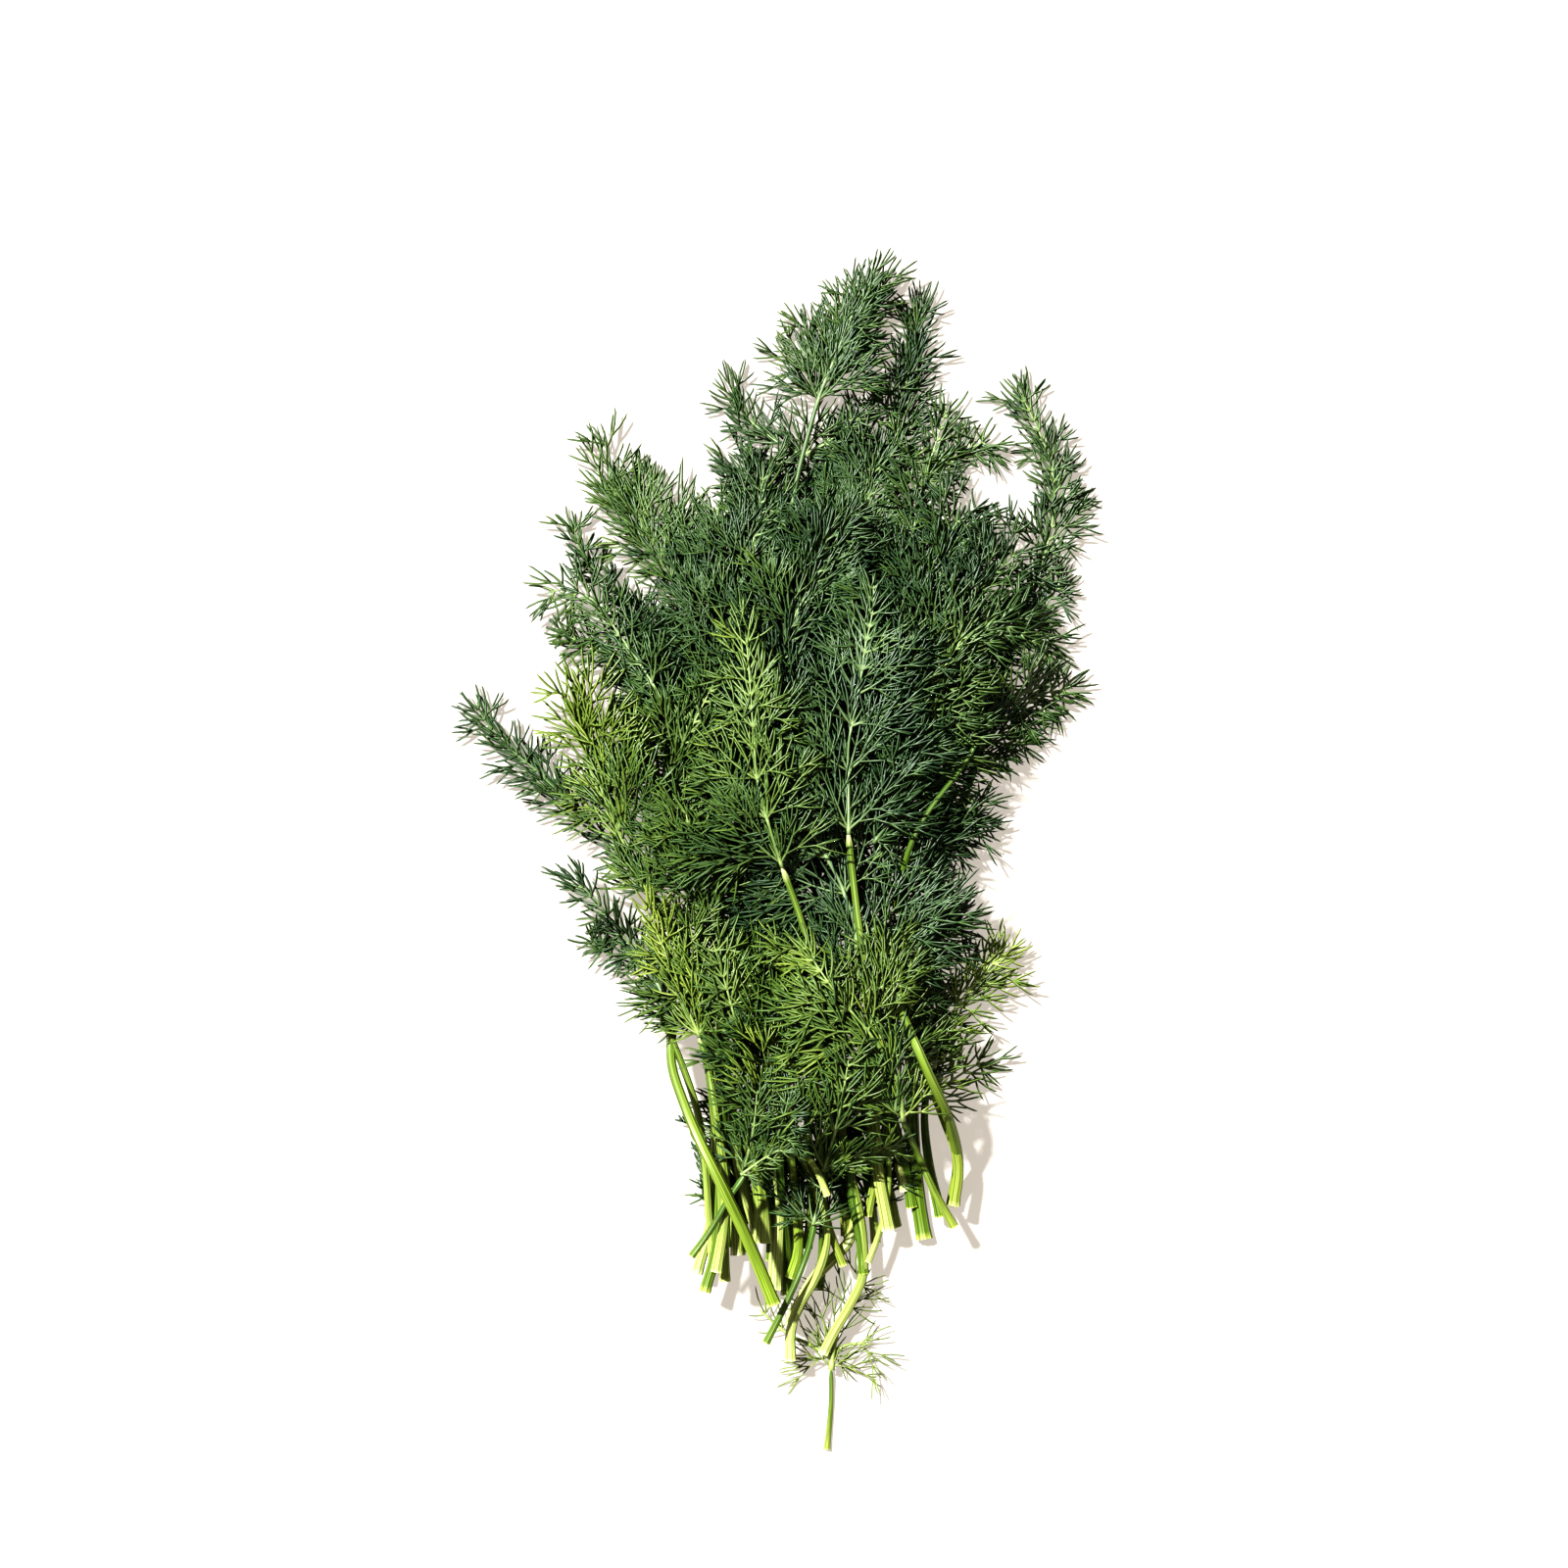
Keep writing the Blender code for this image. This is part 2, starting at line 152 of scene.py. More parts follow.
# number: look, material slot, diameter in mm at the cut and at the first leaves, and the route in mm
# from the cut to the leaves
STALKS = {
    1: ("deep", "green_stem", 4.0, 1.6,
        ((37, -95), (35.6, -86), (34.4, -74), (34, -60), (35, -43), (41, -7), (51, 27), (59, 54))),
    2: ("pale", "pale_stem", 3.6, 1.8,
        ((-9, -99), (-10, -79), (-13, -57), (-18, -38), (-25, -19), (-35, -2))),
    3: ("pale", "green_stem", 3.0, 1.7, ((3, -109), (5, -88), (10, -55), (13, -20), (14, -3))),
    4: ("cream", "pale_stem", 3.9, 2.1, ((0, -107), (1, -88), (2, -55), (4, -20), (4, 7))),
    5: ("pale", "pale_stem", 2.8, 1.6, ((-19, -103), (-15, -86), (-15, -60), (-18, -21), (-19, 16))),
    6: ("cream", "green_stem", 2.6, 1.5, ((32, -83), (29, -64), (28, -31), (25, 3), (24, 19))),
    7: ("pale", "pale_stem", 3.4, 1.6, ((-4, -93), (-9, -74), (-14, -31), (-14, 0), (-13, 12))),
    8: ("deep", "green_stem", 2.8, 1.5,
        ((-17, -107), (-14, -95), (-13, -74), (-12, -43), (-14, -7), (-18, 18), (-23, 30))),
    9: ("grass", "pale_stem", 2.8, 1.5,
        ((44, -86), (45, -75), (41, -63), (34, -45), (31, -27), (32, -12), (36, 8), (40, 14), (47, 26))),
    10: ("cream", "pale_stem", 3.2, 1.6,
         ((3.5, -116), (6.5, -110), (10, -104), (14.5, -99.5), (18.5, -95), (20, -88), (19, -78), (17, -55),
          (14, -35), (12, -22))),
    11: ("grass", "green_stem", 2.6, 1.7,
         ((-12, -104), (-13, -79), (-16, -52), (-19, -36), (-24, -22), (-30, -11))),
    12: ("grass", "green_stem", 2.4, 1.5, ((23, -89), (28, -62), (28, -40), (27, -25))),
    13: ("grass", "green_stem", 2.1, 1.3, ((17, -101), (13, -90), (12, -78), (15, -50), (19, -35))),
    14: ("pale", "pale_stem", 3.4, 1.6, ((28, -92), (25, -74), (24, -50), (22, -28), (20, -13), (18, 5))),
    15: ("deep", "green_stem", 3.0, 1.4, ((41, -89), (38, -76), (37, -62), (40, -51))),
    16: ("pale", "pale_stem", 2.8, 1.8,
         ((-14, -101), (-12, -88), (-12, -78), (-14, -64), (-16, -52), (-18, -44))),
    17: ("pale", "green_stem", 2.6, 1.5,
         ((12, -123), (15, -117), (19, -110), (22, -102), (21, -88), (17, -70), (15, -45), (10, -28),
          (6, -14), (2, -3))),
    18: ("grass", "green_stem", 2.2, 1.4, ((44, -91), (39, -82), (35, -73), (31, -64))),
    19: ("cream", "green_stem", 2.8, 1.5,
         ((4, -124), (4, -117), (6, -110.5), (10, -104), (12.5, -97), (12.5, -90), (8, -77), (0, -63))),
    20: ("bright", "green_stem", 3.3, 2.2,
         ((0, -109), (-6, -94), (-12, -81), (-18, -69), (-22, -60), (-25, -51), (-25, -41))),
    21: ("deep", "green_stem", 1.8, 1.5, ((-2, -119), (4, -107), (8, -97), (10, -89))),
    22: ("deep", "green_stem", 1.7, 1.4, ((-20, -97), (-15, -90), (-11, -83), (-7, -77))),
    23: ("grass", "green_stem", 1.6, 0.9, ((13, -147), (14, -136), (14, -127))),
    # leaf stalks with no CAD stem of their own, and the broad sheath round the foot of stalk 7
    24: ("deep", "green_stem", 2.8, 2.2, ((3, -108), (3, -98), (2, -86), (1, -68))),
    25: ("deep", "green_stem", 2.6, 2.0, ((11, -107), (12, -97), (12, -84), (11, -70))),
    26: ("deep", "green_stem", 2.6, 2.0, ((22, -103), (21, -94), (19, -84), (18, -70))),
    27: ("pale", "pale_stem", 1.6, 1.4, ((23, -100), (26, -92), (28, -82), (28, -70))),
    28: ("pale", "pale_stem", 2.2, 1.6,
         ((-15, -101), (-16, -88), (-17, -74), (-19, -62), (-23, -50), (-28, -38))),
    29: ("pale", "pale_stem", 5.0, 2.6, ((-3, -95), (-3, -88), (-4, -80), (-7, -68))),
    30: ("grass", "green_stem", 3.0, 2.2, ((-8, -98), (-8, -88), (-9, -76), (-11, -58))),
    31: ("bright", "green_stem", 2.8, 2.0, ((4, -104), (6, -96), (5, -82), (3, -64))),
    32: ("grass", "green_stem", 3.2, 2.2, ((18, -94), (17, -84), (15, -72), (14, -58))),
    33: ("grass", "green_stem", 2.8, 1.9, ((30, -92), (28, -82), (24, -70), (21, -58))),
    34: ("deep", "green_stem", 3.0, 1.9, ((34, -87), (32, -76), (29, -64), (26, -54))),
    35: ("cream", "pale_stem", 1.8, 1.5, ((13, -83), (11, -78), (8, -73), (5, -67))),
    37: ("deep", "green_stem", 2.4, 1.8, ((-12, -97), (-12, -86), (-13, -74), (-14, -60))),
    38: ("grass", "green_stem", 2.6, 1.9, ((8, -97), (9, -88), (9, -78), (8, -66))),
    39: ("deep", "green_stem", 2.2, 1.7, ((-1, -100), (-1, -90), (-2, -78), (-4, -64))),
    40: ("pale", "pale_stem", 2.4, 1.8, ((25, -96), (24, -86), (22, -76), (20, -64))),
    41: ("bright", "green_stem", 3.0, 2.1,
         ((43.9, -86.4), (45, -75), (42, -63), (37, -52), (33, -43), (29, -34))),
    36: ("deep", "green_stem", 1.9, 0.9,
         ((29.5, -14), (31.2, -4.3), (32.4, 0.5), (34.1, 4.8), (35.8, 8.2), (40.1, 14.4), (44.4, 19.7),
          (48, 25), (49.9, 28.8))),
}
CAD_STALKS = 23          # the first ones, each with a CAD stem
# heights in mm at even distances along the stalks that don't take theirs from a CAD stem; stalk 20
# has a CAD stem, but is lifted above it so that it shows on top of stalks 16 and 22
SET_HEIGHTS = {
    20: (19, 21.5, 24, 26.2, 24.5, 20, 14, 9.5), 24: (1.4, 9), 25: (1.3, 9), 26: (7, 9), 27: (9, 8),
    28: (8, 14), 29: (9, 11), 30: (1.5, 9), 31: (7, 10), 32: (1.6, 8), 33: (1.4, 7), 34: (3, 6),
    35: (17, 15), 36: (15, 19.5, 22.5, 22, 19.5, 18, 16), 37: (1.2, 6), 38: (4, 8), 39: (4, 8),
    40: (1.2, 5), 41: (1.5, 6, 15.5, 26, 31.5, 31, 17),
}

bpy.ops.curve.primitive_nurbs_circle_add(radius=1)
ring = bpy.context.object
ring.name = "ribbed ring"
ring.data.splines.clear()
outline = ring.data.splines.new("POLY")
outline.points.add(2 * RIBS - 1)
outline.use_cyclic_u = True
for i, point in enumerate(outline.points):
    size = 1 - RIB_DEPTH * (i % 2)
    point.co = (size * np.cos(np.pi * i / RIBS), size * np.sin(np.pi * i / RIBS), 0, 1)

for number, (look, slot, cut_width, top_width, route) in STALKS.items():
    tag = f"{number:02d}"
    plan = smooth_route(route, STALK_STEP)
    if number in SET_HEIGHTS:
        known = SET_HEIGHTS[number]
        heights = np.interp(np.linspace(0, 1, len(plan)), np.linspace(0, 1, len(known)), known) * MM
    else:
        heights = middles("stem_" + tag, plan)
        heights[-1] = middles("frond_" + tag, np.array(route[-1:]) * MM)[0]
        known = np.isfinite(heights)
        heights = np.interp(np.arange(len(plan)), np.flatnonzero(known), heights[known])
    # each ring takes the mean height of the seven round it, so that the stalk bends softly
    heights = np.convolve(np.pad(heights, 3, mode="edge"), np.ones(7) / 7, mode="valid")
    bpy.ops.curve.primitive_nurbs_path_add()
    line = bpy.context.object
    line.data.splines.clear()
    path = line.data.splines.new("POLY")
    path.points.add(len(plan) - 1)
    width = cut_width + (top_width - cut_width) * np.linspace(0, 1, len(plan)) ** TAPER
    width[0] *= FLARE
    width[-2:] *= KNUCKLE
    for point, (x, y), z, w in zip(path.points, plan, heights, width):
        point.co = (x, y, max(z, w * MM / 2), 1)
        point.radius = w * MM / 2
    line.data.bevel_mode = "OBJECT"
    line.data.bevel_object = ring
    line.data.use_fill_caps = True
    bpy.ops.object.convert(target="MESH")
    piece = bpy.context.object
    piece.name = f"dill_stalk_{tag}"
    bpy.ops.object.mode_set(mode="EDIT")
    bpy.ops.mesh.select_all(action="SELECT")
    bpy.ops.mesh.remove_doubles(threshold=0.00001)
    bpy.ops.mesh.normals_make_consistent(inside=False)
    bpy.ops.mesh.select_all(action="DESELECT")
    bpy.ops.object.mode_set(mode="OBJECT")
    # the cut: the end cap's faces are those near the foot that face along the stalk, and they are
    # inset to a rim of flesh and pushed in to a hollow
    start = Vector((plan[0][0], plan[0][1], max(heights[0], cut_width * MM / 2)))
    inward = Vector((*(plan[1] - plan[0]), heights[1] - heights[0])).normalized()
    for polygon in piece.data.polygons:
        near = max((piece.data.vertices[v].co - start).length for v in polygon.vertices)
        polygon.select = near < 0.6 * cut_width * MM and abs(polygon.normal.dot(inward)) > 0.8
    bpy.ops.object.mode_set(mode="EDIT")
    bpy.ops.mesh.select_mode(type="FACE")
    bpy.ops.mesh.inset(thickness=RIM * cut_width * MM / 2)
    bpy.ops.transform.translate(value=inward * HOLLOW * cut_width * MM)
    bpy.ops.mesh.select_all(action="DESELECT")
    bpy.ops.object.mode_set(mode="OBJECT")
    bpy.ops.object.shade_smooth_by_angle(angle=radians(50))
    piece.data.materials.clear()
    piece.data.materials.append(STALK_LOOKS[look])
    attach(piece, "root")
    if number <= CAD_STALKS:
        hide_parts("stem_" + tag)
bpy.data.objects.remove(ring)

# ---------------------------------------------------------------------------------------------
# Leaf plumes, how they grow.  A dill leaf is a thin midrib with knuckles, and at each knuckle two
# side ribs that fork again and again into soft pointed green threads half a millimetre thick.
# Each plume lies at the height of the CAD frond that it names, unless a level is given.
# ---------------------------------------------------------------------------------------------
REACH = 14 * MM          # threads stand this far out beyond their CAD frond at most
GRID = 2 * MM            # spacing of the heights read off a CAD frond
FLOOR_GAP = 0.35 * MM    # middle of the lowest thread over the table


class Bed:
    """The middle height of a CAD frond over a grid of places, carried on level beyond its edges."""

    def __init__(self, cad_node):
        low, high = (np.array(corner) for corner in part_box(cad_node))
        self.corner = low[:2] - REACH
        self.count = np.ceil((high[:2] - low[:2] + 2 * REACH) / GRID).astype(int) + 1
        i, j = np.meshgrid(np.arange(self.count[0]), np.arange(self.count[1]), indexing="ij")
        places = self.corner + np.stack([i.ravel(), j.ravel()], axis=1) * GRID
        height = middles(cad_node, places).reshape(self.count)
        while np.isnan(height).any():
            height = np.where(np.isnan(height), self.around(height), height)
        self.height = self.around(self.around(height))

    def around(self, height):
        """Each place's mean over itself and the places next to it that have a height."""
        wide = np.pad(height, 1, constant_values=np.nan)
        copies = np.array([wide[i:i + height.shape[0], j:j + height.shape[1]]
                           for i in range(3) for j in range(3)])
        known = ~np.isnan(copies)
        total = np.where(known, copies, 0.0).sum(axis=0)
        return np.where(known.any(axis=0), total / np.maximum(known.sum(axis=0), 1), np.nan)

    def at(self, x, y):
        """The height at each place, read between the points of the grid."""
        column = np.clip((x - self.corner[0]) / GRID, 0, self.count[0] - 1.001)
        row = np.clip((y - self.corner[1]) / GRID, 0, self.count[1] - 1.001)
        i, j = column.astype(int), row.astype(int)
        a, b = column - i, row - j
        return ((self.height[i, j] * (1 - a) + self.height[i + 1, j] * a) * (1 - b)
                + (self.height[i, j + 1] * (1 - a) + self.height[i + 1, j + 1] * a) * b)


def unit(vectors):
    """The vectors at length 1."""
    return vectors / np.maximum(np.linalg.norm(vectors, axis=-1, keepdims=True), 1e-9)


def tubes(paths, radii, sides, tint, shade):
    """Closed tapered tubes along many paths at once: points, triangles and each corner's place on the
    colour map, where tint is the tube's own hue and shade runs along it.  Each ends in a point."""
    count, length = paths.shape[:2]
    run = unit(np.gradient(paths, axis=1))
    up = np.broadcast_to((0.0, 0.0, 1.0), run.shape)
    first = unit(np.cross(run, up) + 1e-6)
    second = np.cross(run, first)
    turn = 2 * np.pi * np.arange(sides) / sides
    ring = first[:, :, None] * np.cos(turn)[:, None] + second[:, :, None] * np.sin(turn)[:, None]
    rings = paths[:, :-1, None] + ring[:, :-1] * radii[:, :-1, None, None]
    tip = (length - 1) * sides
    points = np.concatenate([rings.reshape(count, tip, 3), paths[:, -1:]], axis=1)
    faces = []
    for i in range(length - 2):
        for k in range(sides):
            a, b = i * sides + k, i * sides + (k + 1) % sides
            faces += [(a, b, b + sides), (a, b + sides, a + sides)]
    faces += [(tip - sides + k, tip - sides + (k + 1) % sides, tip) for k in range(sides)]
    faces += [(0, k + 1, k) for k in range(1, sides - 1)]
    # a small turn on the colour map for each corner, so that no face there has no area
    u = np.repeat(tint[:, None], length - 1, axis=1)[:, :, None] + 0.004 * np.cos(turn)
    v = shade[:, :-1, None] + 0.004 * np.sin(turn)
    u = np.concatenate([u.reshape(count, tip), tint[:, None]], axis=1)
    v = np.concatenate([v.reshape(count, tip), shade[:, -1:]], axis=1)
    triangles = (np.array(faces)[None] + points.shape[1] * np.arange(count)[:, None, None]).reshape(-1, 3)
    places = np.stack([u, v], axis=-1).reshape(-1, 2)[triangles.ravel()]
    return points.reshape(-1, 3), triangles, places


def mesh_of(name, shapes):
    """One mesh object from several sets of tubes."""
    points = np.concatenate([s[0] for s in shapes])
    offsets = np.cumsum([0] + [len(s[0]) for s in shapes[:-1]])
    triangles = np.concatenate([s[1] + o for s, o in zip(shapes, offsets)])
    places = np.concatenate([s[2] for s in shapes])
    mesh = bpy.data.meshes.new(name)
    mesh.vertices.add(len(points))
    mesh.vertices.foreach_set("co", points.astype(np.float32).ravel())
    mesh.loops.add(triangles.size)
    mesh.loops.foreach_set("vertex_index", triangles.astype(np.int32).ravel())
    mesh.polygons.add(len(triangles))
    mesh.polygons.foreach_set("loop_start", np.arange(0, triangles.size, 3, dtype=np.int32))
    mesh.update(calc_edges=True)
    layer = mesh.uv_layers.new(name="OFBake")
    layer.uv.foreach_set("vector", np.clip(places, 0.002, 0.998).astype(np.float32).ravel())
    mesh.shade_smooth()
    mesh.validate()
    piece = bpy.data.objects.new(name, mesh)
    bpy.context.collection.objects.link(piece)
    return piece


def shoots(start, forward, up, side, length, leave, bend, pitch, points):
    """Paths of side shoots: each leaves its parent at an angle and bends back towards its direction."""
    across = unit(np.cross(up, forward)) * side[:, None]
    angle = leave[:, None] + bend[:, None] * np.linspace(0, 1, points - 1)
    steps = forward[:, None] * np.cos(angle)[..., None] + across[:, None] * np.sin(angle)[..., None]
    steps = unit(steps + up[:, None] * np.tan(pitch)[:, None, None])
    shares = np.append(np.ones(points - 2), 0.5) / (points - 1.5)
    steps *= length[:, None, None] * shares[:, None]
    return np.concatenate([start[:, None], start[:, None] + np.cumsum(steps, axis=1)], axis=1)


def along(paths, which, share):
    """The place on each chosen path at a share of its length, and the direction there."""
    place = share * (paths.shape[1] - 1)
    low = np.minimum(place.astype(int), paths.shape[1] - 2)
    a, b = paths[which, low], paths[which, low + 1]
    return a + (b - a) * (place - low)[:, None], unit(b - a)


def rolled(up, axis, angle):
    """The up directions, made square to their axis and turned about it."""
    up = unit(up - axis * (up * axis).sum(axis=1, keepdims=True))
    return unit(up * np.cos(angle)[:, None] + np.cross(axis, up) * np.sin(angle)[:, None])


def shoots_on(rng, paths, ups, lengths, gap, first, ratio, fade, leave, bend, roll, rise, points, bare,
              least):
    """Side shoots in pairs, gap apart, along every path, from a share of its length, first, on.  The
    last stretch, bare long, has none.  A shoot is ratio of its parent's length, less towards the
    parent's tip by the power fade, and never under least."""
    room = lengths - bare - first * lengths
    counts = np.where(room > 0, (room / gap).astype(int) + 1, 0)
    which = np.repeat(np.arange(len(paths)), counts)
    order = np.arange(len(which)) - np.repeat(np.cumsum(counts) - counts, counts)
    place = first * lengths[which] + gap * (order + rng.uniform(-0.2, 0.2, len(which)))
    which, share = np.repeat(which, 2), np.repeat(place / lengths[which], 2)
    side = np.tile((1.0, -1.0), len(which) // 2)
    share = np.clip(share + rng.uniform(-0.015, 0.015, len(share)), 0.02, 0.97)
    start, forward = along(paths, which, share)
    size = lengths[which] * ratio * (1 - share) ** fade
    size = np.maximum(size, least) * rng.uniform(0.7, 1.25, len(which))
    up = rolled(ups[which], forward, rng.normal(0, roll, len(which)))
    made = shoots(start, forward, up, side, size, leave * rng.uniform(0.75, 1.25, len(which)),
                  np.full(len(which), bend), rng.normal(rise, 0.11, len(which)), points)
    return made, up, size, which


MIDRIB_STEP = 1.5 * MM   # spacing of a midrib's rings
LAST_KNUCKLE = 0.96      # of the midrib's length
RIB_GUESS = 0.62         # a first guess at RIB_OUTWARD, from which each rib's length is settled
RIB_FORWARD = 0.75       # a side rib's reach along the midrib, of its own length
RIB_OUTWARD = 0.6        # its reach out to the side, of its own length
RIB_TIPS = 1.5 * MM      # threads stand this far out beyond a side rib's end
RIB_LEAST = 8            # shortest outer side rib in mm, on a plume that is wide enough for it
FULLNESS = 0.7           # under 1, so that a plume is widest before its middle
KNUCKLE_GAP = 0.46       # space between knuckles, of the side rib's length there
KNUCKLE_LEAST = 2.8 * MM  # least space between knuckles
CROWDING = 0.7           # the power by which knuckles crowd together towards the tip
KNUCKLE_SPREAD = 1.3 * MM  # how far a knuckle's swelling runs along the midrib
INNER_RATIO = 0.55       # length of an inner side rib, of the outer one's
INNER_LEAST = 5 * MM     # inner ribs shorter than this are left out
SAG = 2 * MM             # threads sink this far under the bed at most

# along a side rib: its radius in mm, and how pale it is
RIB_RADII = (0.42, 0.35, 0.31, 0.29, 0.27, 0.25, 0.21, 0)
RIB_PALENESS = (0.9, 0.4, 0.28, 0.2, 0.15, 0.1, 0.05, 0)

# The three orders of threads on the side ribs, each growing on the one before.  Apart, bare and
# least are in mm, leave and bend in degrees, roll in radians and rise as a slope.  Radii in mm and
# paleness run along a thread, and tones is how far its hue strays from its parent's.
ORDERS = (
    {"apart": 4.0, "first": 0.10, "ratio": 0.75, "fade": 0.70, "leave": 34, "bend": -24, "roll": 0.22,
     "rise": 0.10, "bare": 6.0, "least": 7.5, "tones": 0.05,
     "radii": (0.31, 0.30, 0.29, 0.27, 0), "paleness": (0.42, 0.24, 0.14, 0.08, 0)},
    {"apart": 3.8, "first": 0.22, "ratio": 0.85, "fade": 0.6, "leave": 24, "bend": -16, "roll": 0.24,
     "rise": 0.06, "bare": 5.5, "least": 6.5, "tones": 0.06,
     "radii": (0.30, 0.29, 0.26, 0), "paleness": (0.24, 0.14, 0.08, 0)},
    {"apart": 4.2, "first": 0.3, "ratio": 0.85, "fade": 0.6, "leave": 20, "bend": -12, "roll": 0.24,
     "rise": 0.0, "bare": 5.0, "least": 5.5, "tones": 0.06,
     "radii": (0.30, 0.29, 0.24, 0), "paleness": (0.18, 0.12, 0.06, 0)})


def plume(rng, bed, route, half_width, hue, tip_hue=None, rib=1.0, angle=52, loft=3.6, gap=1.0, crest=1.5,
          end=0.2, left=1.0, right=1.0, bare=0.02, stem=1.0, bold=1.0, thin=1.0, level=None):
    """One plume of leaf, as sets of tubes: half_width in mm, hues from deep blue-green 0 to yellow 1.

    rib is how pale its ribs are, and it is set low on plumes that lie under others, so that painted shade
    darkens their midrib, side ribs and first threads.  angle is between midrib and side ribs.  Threads stand
    up to loft and the midrib crest in mm above the bed, or above level in mm if one is given.  As shares,
    end is the width at the foot and tip, and bare the leafless foot.  The rest are factors: left and right
    on the lengths of the side ribs, gap on all spacing, stem on the midrib's thickness, bold on the threads'
    thickness and ends, and thin on the thickness of all but the midrib."""
    plan = smooth_route(route, MIDRIB_STEP)
    length = np.linalg.norm(np.diff(plan, axis=0), axis=1).sum()
    midrib = np.column_stack([plan, np.full(len(plan), crest * MM)])[None]
    # each knuckle's place as a share of the midrib, and its side ribs' length, which fills the outline
    shares, sizes = [], []
    share = bare
    while share < LAST_KNUCKLE:
        size = half_width * MM / RIB_GUESS
        for _ in range(4):
            reach = min(share + size * RIB_FORWARD / length, 1.0)
            reach = (reach - bare) / (1 - bare)
            width = (end + (1 - end) * np.sin(np.pi * reach**FULLNESS)) * half_width * MM
            size = max((width - RIB_TIPS) / RIB_OUTWARD, min(RIB_LEAST, half_width) * MM)
        shares.append(share)
        sizes.append(size)
        share += gap * max(KNUCKLE_GAP * size * (1 - share) ** CROWDING, KNUCKLE_LEAST) / length
    # at each knuckle two side ribs and, between them and the midrib, two shorter ones
    nodes = np.array(shares)
    inner = np.tile((False, False, True, True), len(nodes))
    shares, sizes = np.repeat(nodes, 4), np.repeat(sizes, 4) * rng.uniform(0.72, 1.2, 4 * len(nodes))
    sizes = np.where(inner, INNER_RATIO * sizes, sizes) * np.tile((left, right), 2 * len(nodes))
    kept = ~inner | (sizes > INNER_LEAST)
    shares, sizes, inner = shares[kept], sizes[kept], inner[kept]
    count = len(shares)
    side = np.tile((1.0, -1.0), 2 * len(nodes))[kept]
    start, forward = along(midrib, np.zeros(count, int), shares)
    up = rolled(np.tile((0.0, 0.0, 1.0), (count, 1)), forward, rng.normal(0, np.where(inner, 0.5, 0.2)))
    leave = radians(angle) * np.where(inner, 0.5, 1.0) * rng.uniform(0.8, 1.2, count)
    bend = radians(-32) * np.where(inner, 0.4, 1.0)
    pitch = rng.normal(np.where(inner, -0.04, 0.04), 0.1)
    ribs = shoots(start, forward, up, side, sizes, leave, bend, pitch, len(RIB_RADII))

    # a narrow plume has shorter threads
    fine = np.clip(half_width / 9, 0.45, 1.0) * bold
    threads, parents, ups, lengths = [], ribs, up, sizes
    for order in ORDERS:
        parents, ups, lengths, which = shoots_on(
            rng, parents, ups, lengths, order["apart"] * MM * gap, order["first"], order["ratio"],
            order["fade"], radians(order["leave"]), radians(order["bend"]), order["roll"], order["rise"],
            len(order["radii"]), order["bare"] * MM * fine, order["least"] * MM * fine)
        threads.append((parents, which))

    def settled(paths):
        """The paths laid on the bed, with what stands above or below it held to its limit."""
        lift = paths[..., 2]
        lift = np.where(lift > 0, loft * MM * np.tanh(lift / (loft * MM)), SAG * np.tanh(lift / SAG))
        z = (bed.at(paths[..., 0], paths[..., 1]) if level is None else level * MM) + lift
        return np.concatenate([paths[..., :2], np.maximum(z, FLOOR_GAP)[..., None]], axis=-1)

    def rows(count, values):
        return np.tile(np.array(values), (count, 1))

    hues = hue + ((hue if tip_hue is None else tip_hue) - hue) * shares
    tints = np.clip(hues + rng.normal(0, 0.05, count), 0, 1)
    run = np.linspace(0, 1, midrib.shape[1])
    knuckle = np.exp(-((run[:, None] - nodes) * length / KNUCKLE_SPREAD) ** 2).sum(axis=1)
    # the midrib narrows to its tip, and is thicker on a wider plume and at each knuckle
    midrib_radii = ((0.2 + 0.46 * (1 - run) ** 1.2) * (0.5 + half_width / 50) * (1 + 0.3 * knuckle)
                    * stem * MM)
    # a low rib on a plume lying under others darkens its midrib and side ribs: painted shade, not their own
    # colour
    shapes = [
        tubes(settled(midrib), midrib_radii[None], 6, np.array([hue]),
              (rib * np.clip(0.5 - 0.2 * run + 0.5 * knuckle, 0, 1))[None]),
        tubes(settled(ribs), rows(count, RIB_RADII) * thin * MM, 4, tints, rows(count, RIB_PALENESS) * rib)]
    # the first threads share the side ribs' paleness, with its painted shade on plumes lying under others,
    # and the others keep their own
    for order, pale, (paths, which) in zip(ORDERS, (rib, 1.0, 1.0), threads):
        tints = np.clip(tints[which] + rng.normal(0, order["tones"], len(which)), 0, 1)
        shapes.append(tubes(settled(paths), rows(len(paths), order["radii"]) * bold * thin * MM, 3, tints,
                            rows(len(paths), order["paleness"]) * pale))
    return shapes


# Living leaf: blue-green when old and yellow-green when young, with paler ribs and knuckles.  Its thin
# wax gives each thread a narrow, soft shine along its top.
leaf = bpy.data.materials.new("fresh dill leaf")
leaf.use_nodes = True
shader = leaf.node_tree.nodes["Principled BSDF"]
own_map = add_node(leaf, "ShaderNodeUVMap", uv_map="OFBake")
parts = add_node(leaf, "ShaderNodeSeparateXYZ", {0: own_map.outputs[0]})
blade = add_node(leaf, "ShaderNodeValToRGB", {0: parts.outputs[0]}, stops=(
    (0.0, "#1D3524"), (0.25, "#2F4722"), (0.5, "#485C26"), (0.75, "#657430"), (1.0, "#8C9850")))
rib = add_node(leaf, "ShaderNodeValToRGB", {0: parts.outputs[0]}, stops=(
    (0.0, "#869870"), (0.5, "#929F6C"), (1.0, "#A4AC70")))
both = add_node(leaf, "ShaderNodeMix", {0: parts.outputs[1], 6: blade.outputs[0], 7: rib.outputs[0]},
                data_type="RGBA")
leaf.node_tree.links.new(both.outputs[2], shader.inputs["Base Color"])
shader.inputs["Roughness"].default_value = 0.40
shader.inputs["Specular IOR Level"].default_value = 0.42
shader.inputs["IOR"].default_value = 1.45


